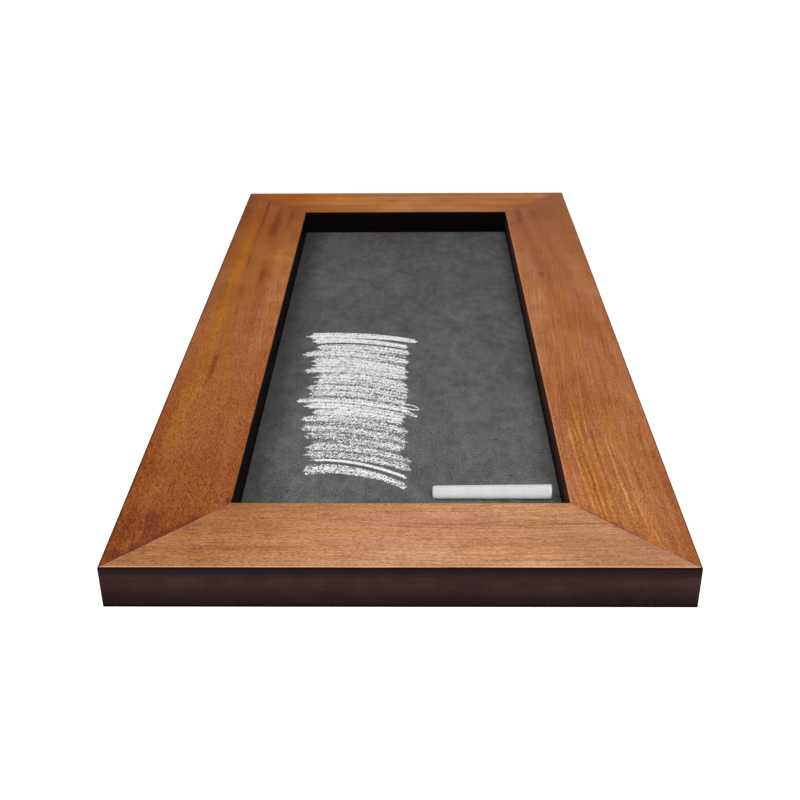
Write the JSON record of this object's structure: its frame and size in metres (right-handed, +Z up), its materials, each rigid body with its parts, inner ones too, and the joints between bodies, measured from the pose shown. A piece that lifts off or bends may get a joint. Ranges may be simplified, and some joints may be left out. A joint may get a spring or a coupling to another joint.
{
  "type": "slate writing board",
  "caption": "Rectangular writing slate set deep in a wide mitred wooden frame, lying on its back with a loose stick of chalk on the slate.",
  "frame": {"origin": "middle of the frame's back, on the surface that the board lies on", "axes": "+X across the board to the right, +Y along it to the far end, +Z up out of the writing face"},
  "size_m": [0.3, 0.6, 0.0245],
  "materials": {
    "stained_wood": "satin stain on the face, dark brown edges and inner walls",
    "slate": "honed matt, faintly dusty with chalk",
    "hardboard": "pressed fibre board, smooth",
    "steel": "bright zinc",
    "chalk": "matt, powdery"
  },
  "bodies": {
    "board": {"backing_board": "hardboard", "framing_point_front_1": "steel", "framing_point_front_2": "steel", "framing_point_left_1": "steel", "framing_point_left_2": "steel", "framing_point_left_3": "steel", "framing_point_left_4": "steel", "framing_point_rear_1": "steel", "framing_point_rear_2": "steel", "framing_point_right_1": "steel", "framing_point_right_2": "steel", "framing_point_right_3": "steel", "framing_point_right_4": "steel", "front_rail": "stained_wood", "left_rail": "stained_wood", "rear_rail": "stained_wood", "right_rail": "stained_wood", "slate_panel": "slate", "v_nail_front_left_1": "steel", "v_nail_front_left_2": "steel", "v_nail_front_right_1": "steel", "v_nail_front_right_2": "steel", "v_nail_rear_left_1": "steel", "v_nail_rear_left_2": "steel", "v_nail_rear_right_1": "steel", "v_nail_rear_right_2": "steel"},
    "chalk": {"chalk_stick": "chalk"}
  },
  "joints": [
    {"name": "chalk_pick_up", "type": "slide", "parent": "board", "child": "chalk", "axis": [0, 0, 1], "range_m": [0, 0.06]}
  ]
}
